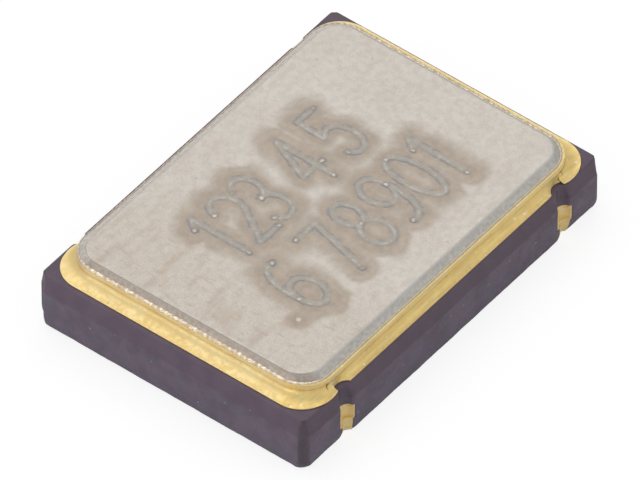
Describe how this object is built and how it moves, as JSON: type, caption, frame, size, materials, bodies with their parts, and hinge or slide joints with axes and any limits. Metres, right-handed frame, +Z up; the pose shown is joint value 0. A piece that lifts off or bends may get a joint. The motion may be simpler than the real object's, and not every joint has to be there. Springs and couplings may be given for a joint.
{
  "type": "crystal oscillator",
  "caption": "Flat surface-mount oscillator: dark ceramic body, gold seal ring, welded metal lid, solder lands under its long edges.",
  "frame": {"origin": "middle of the plane of the four solder lands' undersides", "axes": "+X along the long sides, +Y along the short sides, +Z up out of the lid; terminal 1 is at -X -Y"},
  "size_m": [0.007, 0.005, 0.0013],
  "materials": {
    "dark_ceramic": "matt, dark purple-brown, rougher where it was snapped",
    "gold_plating": "satin gold plate",
    "braze": "smooth gold plate over braze",
    "lid_nickel": "satin nickel, grey along the welded edge, heat tint round the marking",
    "land_gold": "satin gold plate",
    "printed_gold": "fine-grained gold plate over printed metal",
    "quartz": "clear, polished",
    "electrode_silver": "evaporated silver film",
    "silver_adhesive": "matt grey, silver-filled",
    "die_glue": "matt grey",
    "silicon": "dark, polished",
    "bond_pad_metal": "fine aluminium",
    "wire_gold": "bright gold wire"
  },
  "bodies": {
    "root": {"ceramic_base": "dark_ceramic", "seal_pad": "gold_plating", "braze_fillet": "braze", "seal_ring": "gold_plating", "lid": "lid_nickel", "quartz_blank": "quartz", "upper_electrode": "electrode_silver", "lower_electrode": "electrode_silver", "die_pad": "printed_gold", "die_attach": "die_glue", "chip": "silicon", "chip_bond_pads": "bond_pad_metal", "solder_terminal_1": "land_gold", "solder_terminal_2": "land_gold", "solder_terminal_3": "land_gold", "solder_terminal_4": "land_gold", "inner_lead_1": "printed_gold", "inner_lead_2": "printed_gold", "inner_lead_3": "printed_gold", "inner_lead_4": "printed_gold", "crystal_lead_1": "printed_gold", "mount_pad_1": "printed_gold", "adhesive_dot_1": "silver_adhesive", "crystal_lead_2": "printed_gold", "mount_pad_2": "printed_gold", "adhesive_dot_2": "silver_adhesive", "bond_wire_1": "wire_gold", "bond_wire_2": "wire_gold", "bond_wire_3": "wire_gold", "bond_wire_4": "wire_gold", "bond_wire_5": "wire_gold", "bond_wire_6": "wire_gold"}
  },
  "joints": []
}
